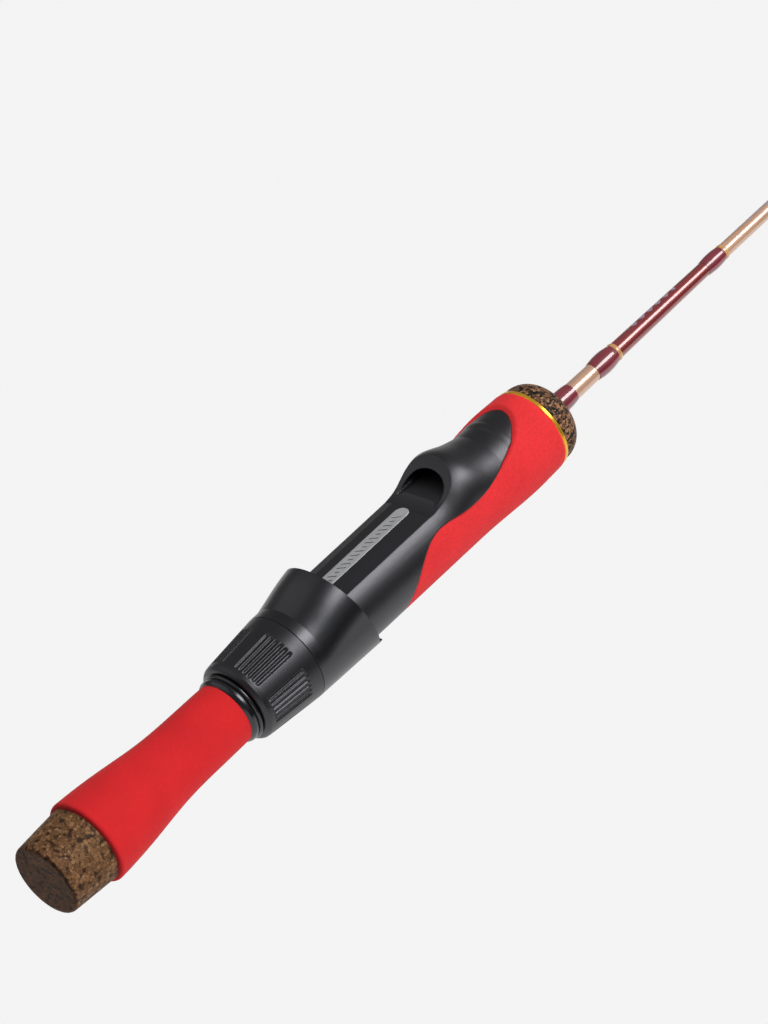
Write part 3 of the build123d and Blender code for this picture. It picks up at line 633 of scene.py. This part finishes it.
def outer_profile(node, rows, margin):
    """(x, radius) points along the top of a turned CAD node, kept a share of its length off its ends."""
    low, high, widest = span_of(node)
    surface = surface_of(node)
    profile = []
    for row in range(rows + 1):
        x = low + (high - low) * (margin + (1 - 2 * margin) * row / rows)
        hit = surface.ray_cast(Vector((x, 0, 2 * widest)), Vector((0, 0, -1)))[0]
        profile.append((x, hit.z))
    return profile


BLANK_STATIONS = ring_radii("blank")


def blank_radius(x):
    for (x0, r0), (x1, r1) in zip(BLANK_STATIONS, BLANK_STATIONS[1:]):
        if x <= x1:
            return r0 + (r1 - r0) * (x - x0) / (x1 - x0)
    return BLANK_STATIONS[-1][1]


# ---- Foam and cork ------------------------------------------------------------------------------
AXIS_RADIUS = 0.02 * MM     # where a solid piece's profile ends, just off the rod's axis
FOAM_CELL = 0.7 * MM
FOAM_DEPTH = 0.018 * MM
CORK_GRAIN = 1.3 * MM
CORK_DEPTH = 0.05 * MM
FOAM_VOXEL = 0.34 * MM
REAR_EDGE = 0.05 * MM
FRONT_EDGE = 0.02 * MM


def foam_wobble(point):
    """The uneven skin of ground foam."""
    return radial(point) * FOAM_DEPTH * noise.noise(point / FOAM_CELL)


def radial(point):
    across = Vector((0, point.y, point.z))
    return across.normalized() if across.length > 1e-6 else Vector((-1, 0, 0))


def cork_wobble(point):
    """Chips that stand a little proud of or below each other."""
    coarse = noise.noise(point / CORK_GRAIN)
    fine = noise.noise(point / (CORK_GRAIN * 0.35) + Vector((7.3, 1.9, 4.1)))
    return radial(point) * CORK_DEPTH * (0.7 * coarse + 0.5 * fine - 0.5)


def make_rear_grip():
    """The tapered foam grip, its skin following the CAD solid."""
    low, high, _ = span_of("rear_grip")
    inner = blank_radius(low)
    profile = outer_profile("rear_grip", 260, 0.0005)
    closed = [(low, inner), (low, profile[0][1] - REAR_EDGE)] + profile
    closed += [(high, profile[-1][1] - FRONT_EDGE), (high, inner)]
    vertices, faces = lathe_mesh(closed, 288, foam_wobble)
    grip = new_piece(
        "rear_grip_foam", vertices, faces, MATERIALS["foam_rear"], "handle", ["rear_grip"]
    )


def make_fore_grip():
    """The fore grip's foam, rounded where it meets the black seat."""
    source = nodes["fore_grip"]
    grip = bpy.data.objects.new("fore_grip_foam", source.data.copy())
    scene.collection.objects.link(grip)
    remesh = grip.modifiers.new("voxels", "REMESH")
    remesh.mode = "VOXEL"
    remesh.voxel_size = FOAM_VOXEL
    smooth = grip.modifiers.new("soften", "SMOOTH")
    smooth.iterations = 5
    smooth.factor = 0.5
    bpy.context.view_layer.update()
    shaped = grip.evaluated_get(bpy.context.evaluated_depsgraph_get())
    baked = bpy.data.meshes.new_from_object(shaped)
    grip.modifiers.clear()
    grip.data = baked
    for vertex in baked.vertices:
        vertex.co += foam_wobble(vertex.co)
    baked.shade_smooth()
    dress(grip, MATERIALS["foam_fore"])
    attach(grip, "handle")
    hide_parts("fore_grip")


BUTT_FACE_RADIUS = 11.0 * MM
BUTT_EDGE = 1.0 * MM
BUTT_SOCKET_SHARE = 0.6     # of the cap's length, where the blank's socket ends
NOSE_FACE_RADIUS = 6.6 * MM
NOSE_SHOULDER_SHARE = 0.25
NOSE_BEND_SHARE = 0.76
NOSE_FULLNESS = 0.55


def make_butt_cap():
    """The cork cap, widening forward from a face with a rounded edge."""
    low, high, widest = span_of("butt_cap")
    slope = (widest - BUTT_FACE_RADIUS) / (high - low)
    edge_drop = BUTT_EDGE * (1 - math.sqrt(0.5))
    rounding = arc_points(
        (low, BUTT_FACE_RADIUS - BUTT_EDGE),
        (low + edge_drop, BUTT_FACE_RADIUS - edge_drop),
        (low + BUTT_EDGE, BUTT_FACE_RADIUS + slope * BUTT_EDGE),
        8,
    )
    socket_end = low + BUTT_SOCKET_SHARE * (high - low)
    profile = [(low, AXIS_RADIUS)] + rounding + [(high, widest), (high, blank_radius(high))]
    profile += [(socket_end, blank_radius(high)), (socket_end, AXIS_RADIUS)]
    vertices, faces = lathe_mesh(densify(profile, 0.28 * MM), 256, cork_wobble)
    new_piece("butt_cap_cork", vertices, faces, MATERIALS["cork_butt"], "handle", ["butt_cap"])


def make_front_cork():
    """The cork nose: a short straight band, then a rounded front."""
    low, high, widest = span_of("front_cork")
    shoulder = low + NOSE_SHOULDER_SHARE * (high - low)
    bend = shoulder + NOSE_BEND_SHARE * (high - shoulder)
    middle = (bend, (1 - NOSE_FULLNESS) * NOSE_FACE_RADIUS + NOSE_FULLNESS * widest)
    nose = arc_points((shoulder, widest), middle, (high, NOSE_FACE_RADIUS), 24)
    profile = [(low, widest)] + nose + [(high, blank_radius(high)), (low, blank_radius(low))]
    vertices, faces = lathe_mesh(densify(profile, 0.25 * MM), 288, cork_wobble)
    cork = MATERIALS["cork_fore"]
    new_piece("front_cork_nose", vertices, faces, cork, "handle", ["front_cork"])


# ---- Lock nut -----------------------------------------------------------------------------------
PANELS = 6
FIRST_PANEL = math.radians(62)
RIB_PITCH = math.radians(7.1)
RIBS_PER_PANEL = 5
GROOVE_HALF = 0.27        # of the rib pitch
GROOVE_EDGE = 0.36        # of the rib pitch
GROOVE_DEPTH = 0.46 * MM
GROOVE_SETBACK = 2.2 * MM
GROOVE_LENGTH = 14.2 * MM
GROOVE_RUNOUT = 1.2 * MM
NUT_SHARP_ANGLE = math.radians(70)
NUT_SEGMENTS = 720
NUT_BORE = 9.8 * MM
NUT_COUNTERBORE = 11.6 * MM
NUT_SNAP_BORE = 12.2 * MM
NUT_SNAP_FROM_FRONT = (3.5 * MM, 1.7 * MM)


def eased(value):
    """0 below 0, 1 above 1, with a smooth climb between."""
    value = min(1.0, max(0.0, value))
    return value * value * (3 - 2 * value)


def groove_depth(run, angle):
    """How far the nut's surface is sunk: six panels of grooves with round-shouldered ribs between."""
    between = 2 * math.pi / PANELS
    off_panel = (angle - FIRST_PANEL + between / 2) % between - between / 2
    steps = off_panel / RIB_PITCH
    if abs(steps) > (RIBS_PER_PANEL + 1) / 2:
        return 0.0
    off_groove = abs(steps % 1.0 - 0.5)
    across = eased((GROOVE_HALF + GROOVE_EDGE / 2 - off_groove) / GROOVE_EDGE)
    from_end = min(run - GROOVE_SETBACK, GROOVE_SETBACK + GROOVE_LENGTH - run)
    return GROOVE_DEPTH * across * eased(from_end / GROOVE_RUNOUT)


def make_lock_nut():
    """The nut's CAD outline with softly ribbed panels outside and plain bores inside."""
    low, high, _ = span_of("lock_nut")
    outline = outer_profile("lock_nut", 110, 0.0005)
    snap_back, snap_front = (high - offset for offset in NUT_SNAP_FROM_FRONT)
    inner = [
        (high, NUT_COUNTERBORE),
        (snap_front, NUT_COUNTERBORE),
        (snap_front, NUT_SNAP_BORE),
        (snap_back, NUT_SNAP_BORE),
        (snap_back, NUT_BORE),
        (low, NUT_BORE),
    ]
    vertices, faces = lathe_mesh(outline + inner, NUT_SEGMENTS)
    count = len(outline) + len(inner)
    for turn in range(NUT_SEGMENTS):
        angle = 2 * math.pi * turn / NUT_SEGMENTS
        for index, (x, radius) in enumerate(outline):
            point = vertices[turn * count + index]
            share = 1 - groove_depth(x - low, angle) / radius
            point.y *= share
            point.z *= share
    new_piece(
        "lock_nut_ribbed",
        vertices,
        faces,
        MATERIALS["nut"],
        "lock_nut",
        ["lock_nut"],
        NUT_SHARP_ANGLE,
    )


# ---- Rear collar --------------------------------------------------------------------------------
COLLAR_BORE = 7.5 * MM


def make_collar():
    """Two polished beads round the rear end of the seat."""
    low, high, _ = span_of("rear_collar")
    profile = [(low, COLLAR_BORE)] + outer_profile("rear_collar", 90, 0.002) + [(high, COLLAR_BORE)]
    vertices, faces = lathe_mesh(profile, 256)
    collar = MATERIALS["collar"]
    new_piece("rear_collar_beads", vertices, faces, collar, "handle", ["rear_collar"])


# ---- Blank, wraps and bands ---------------------------------------------------------------------
PAINT_LEAD = 7.0            # from the lower trim band to the first row of lozenges
FRONT_LEAD = 10.0           # from the upper trim band to the second row
WRAP_ROOT_SHARE = 0.9       # a winding's ends start this share of the way out to the blank's skin


def make_blank():
    """The tapered blank, painted between the lower trim band and the upper wrap."""
    low, high, _ = span_of("blank")
    paint_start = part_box("lower_trim_band")[1].x
    paint_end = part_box("upper_wrap")[0].x
    front_band_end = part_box("upper_trim_band")[1].x
    motif_starts = (paint_start / MM + PAINT_LEAD, front_band_end / MM + FRONT_LEAD)
    motif_spans = [(start, start + MOTIF_LENGTH) for start in motif_starts]
    lacquer = blank_material(paint_start / MM, paint_end / MM, motif_spans)
    outline = [(x, blank_radius(x)) for x in [low] + [s[0] for s in BLANK_STATIONS[1:-1]] + [high]]
    profile = [(low, AXIS_RADIUS)] + outline + [(high, AXIS_RADIUS)]
    vertices, faces = lathe_mesh(densify(profile, 1.5 * MM), 96)
    new_piece("blank_lacquered", vertices, faces, lacquer, "handle", ["blank"])


def make_wrap(node, material):
    """A domed winding between the ends of its CAD node."""
    low, high, _ = span_of(node)
    crown = outer_profile(node, 48, 0.002)
    roots = [(x, blank_radius(x) * WRAP_ROOT_SHARE) for x in (low, high)]
    profile = [roots[0]] + crown + [roots[1]]
    vertices, faces = lathe_mesh(profile, 160)
    new_piece(f"{node}_epoxy", vertices, faces, material, "handle", [node])


# ---- Silver inlay with a row of engraved strokes ------------------------------------------------
STROKE_PITCH = 1.9 * MM
STROKE_WIDTH = 0.42 * MM
STROKE_SLANT = 0.55
STROKE_HALF = 1.15 * MM
STROKE_DEPTH = 0.14 * MM
STROKE_MARGIN = 3.0 * MM
EDGE_ROUNDING = 0.25 * MM


def stroke_depth(run, length, y):
    """How deep the engraving is at a point: short slanted strokes, every third one shorter."""
    if not STROKE_MARGIN < run < length - STROKE_MARGIN:
        return 0.0
    shifted = run + STROKE_SLANT * y
    index = math.floor(shifted / STROKE_PITCH)
    off_centre = abs(shifted - (index + 0.5) * STROKE_PITCH)
    half = STROKE_HALF * (0.55 if index % 3 == 0 else 1.0)
    across = min(1.0, max(0.0, (STROKE_WIDTH / 2 - off_centre) / (0.12 * MM) + 0.5))
    along = min(1.0, max(0.0, (half - abs(y)) / (0.15 * MM) + 0.5))
    return STROKE_DEPTH * across * along


def make_inlay():
    """The round-ended strip, its top a height field that carries the strokes."""
    low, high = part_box("seat_inlay")
    half_width = (high.y - low.y) / 2
    length = high.x - low.x
    columns = 420
    rows = 44
    vertices = []
    faces = []
    for column in range(columns + 1):
        run = length * column / columns
        from_end = min(run, length - run)
        inset = max(0.0, half_width - from_end)
        half = math.sqrt(max(half_width**2 - inset**2, AXIS_RADIUS**2))
        for row in range(rows + 1):
            y = half * (2 * row / rows - 1)
            rim = min(half - abs(y), from_end)
            edge = min(1.0, rim / EDGE_ROUNDING)
            z = high.z - stroke_depth(run, length, y) - EDGE_ROUNDING * (1 - edge) ** 2 / 2
            vertices.append((low.x + run, y, z))
    base = len(vertices)
    vertices += [(x, y, low.z) for x, y, _ in vertices]
    width = rows + 1
    for column in range(columns):
        for row in range(rows):
            a = column * width + row
            faces.append((a, a + 1, a + width + 1, a + width))
            faces.append((base + a, base + a + width, base + a + width + 1, base + a + 1))
        for a in (column * width, column * width + rows):
            faces.append((a, a + width, base + a + width, base + a))
    for row in range(rows):
        for a in (row, columns * width + row):
            faces.append((a, a + 1, base + a + 1, base + a))
    plate = new_piece(
        "seat_inlay_engraved",
        vertices,
        faces,
        MATERIALS["silver"],
        "handle",
        ["seat_inlay"],
    )
    plate.data.materials.append(MATERIALS["engraving"])
    for face in plate.data.polygons:
        middle = face.center
        depth = stroke_depth(middle.x - low.x, length, middle.y)
        if middle.z > low.z + EDGE_ROUNDING and depth > STROKE_DEPTH / 2:
            face.material_index = 1


# ---- Build --------------------------------------------------------------------------------------
NODE_MATERIALS = {
    "reel_seat": "seat",
    "sliding_hood": "hood",
    "rear_arbor": "arbor",
    "front_arbor": "arbor",
    "trim_ring": "gold",
    "tip_top_frame": "steel",
    "tip_ring": "ceramic",
}
NODE_PREFIXES = {
    "guide_frame_": "steel",
    "guide_ring_": "ceramic",
    "guide_wrap_": "burgundy",
    "guide_trim_band": "gold_thread",
}
WRAP_NODES = {
    "butt_wrap": "burgundy",
    "lower_wrap": "burgundy",
    "upper_wrap": "burgundy",
    "tip_wrap": "burgundy",
    "lower_trim_band": "gold_thread",
    "upper_trim_band": "gold_thread",
}

for node, obj in nodes.items():
    if node in NODE_MATERIALS:
        dress(obj, MATERIALS[NODE_MATERIALS[node]])
    for prefix, material in NODE_PREFIXES.items():
        if node.startswith(prefix):
            dress(obj, MATERIALS[material])

make_butt_cap()
make_rear_grip()
make_collar()
make_lock_nut()
make_fore_grip()
make_front_cork()
make_blank()
make_inlay()
for node, material in WRAP_NODES.items():
    make_wrap(node, MATERIALS[material])
